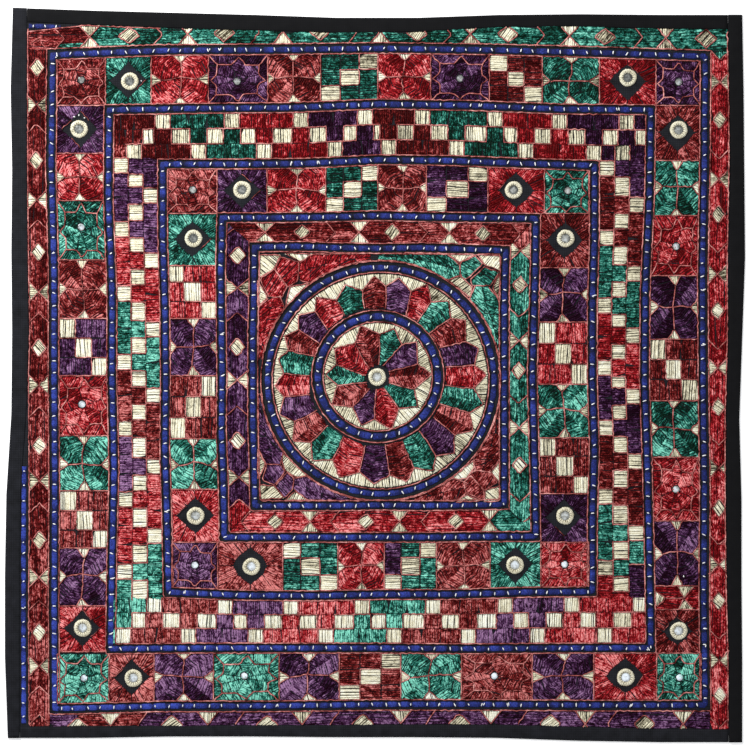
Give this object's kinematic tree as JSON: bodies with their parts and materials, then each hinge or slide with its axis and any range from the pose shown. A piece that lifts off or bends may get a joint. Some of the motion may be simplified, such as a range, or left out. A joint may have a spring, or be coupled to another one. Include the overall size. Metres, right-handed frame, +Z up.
{
  "type": "embroidered tablecloth",
  "caption": "Square embroidered tablecloth lying flat, with a black cotton border, blue beaded braid, satin stitch patchwork, small mirrors and a round medallion.",
  "frame": {"origin": "middle of the underside's bounding box", "axes": "+Z up out of the right side of the cloth, +Y towards the picture's top edge, +X towards its right edge"},
  "size_m": [1.036, 1.028, 0.0041],
  "materials": {
    "stitched_cotton": "rayon floss satin stitch on black cotton, silky and ridged",
    "border_cotton": "plain woven black cotton, matt",
    "blue_braid": "blue cotton braid with white beads sewn across it",
    "ring_thread": "cream thread wound close round a ring, glass inside",
    "mirror_glass": "small silvered glass, slightly uneven"
  },
  "bodies": {
    "root": {"panel": "stitched_cotton", "border_left": "border_cotton", "border_right": "border_cotton", "border_top": "border_cotton", "border_bottom": "border_cotton", "braid_square_1": "blue_braid", "braid_square_2": "blue_braid", "braid_square_3": "blue_braid", "braid_square_4": "blue_braid", "braid_square_5": "blue_braid", "braid_ring_outer": "blue_braid", "braid_ring_inner": "blue_braid", "braid_edge_left": "blue_braid", "braid_edge_top": "blue_braid", "mirror_ringed_o1": "ring_thread", "mirror_ringed_o2": "ring_thread", "mirror_ringed_o3": "ring_thread", "mirror_ringed_o4": "ring_thread", "mirror_ringed_o5": "ring_thread", "mirror_ringed_o6": "ring_thread", "mirror_ringed_o7": "ring_thread", "mirror_ringed_o8": "ring_thread", "mirror_ringed_i1": "ring_thread", "mirror_ringed_i2": "ring_thread", "mirror_ringed_i3": "ring_thread", "mirror_ringed_i4": "ring_thread", "mirror_ringed_i5": "ring_thread", "mirror_ringed_i6": "ring_thread", "mirror_ringed_i7": "ring_thread", "mirror_ringed_i8": "ring_thread", "mirror_ringed_centre": "ring_thread", "mirror_bare_o1": "mirror_glass", "mirror_bare_o2": "mirror_glass", "mirror_bare_o3": "mirror_glass", "mirror_bare_o4": "mirror_glass", "mirror_bare_o5": "mirror_glass", "mirror_bare_o6": "mirror_glass", "mirror_bare_o7": "mirror_glass", "mirror_bare_o8": "mirror_glass", "mirror_bare_o9": "mirror_glass", "mirror_bare_o10": "mirror_glass", "mirror_bare_o11": "mirror_glass", "mirror_bare_o12": "mirror_glass", "mirror_bare_i1": "mirror_glass", "mirror_bare_i2": "mirror_glass", "mirror_bare_i3": "mirror_glass", "mirror_bare_i4": "mirror_glass"}
  },
  "joints": []
}
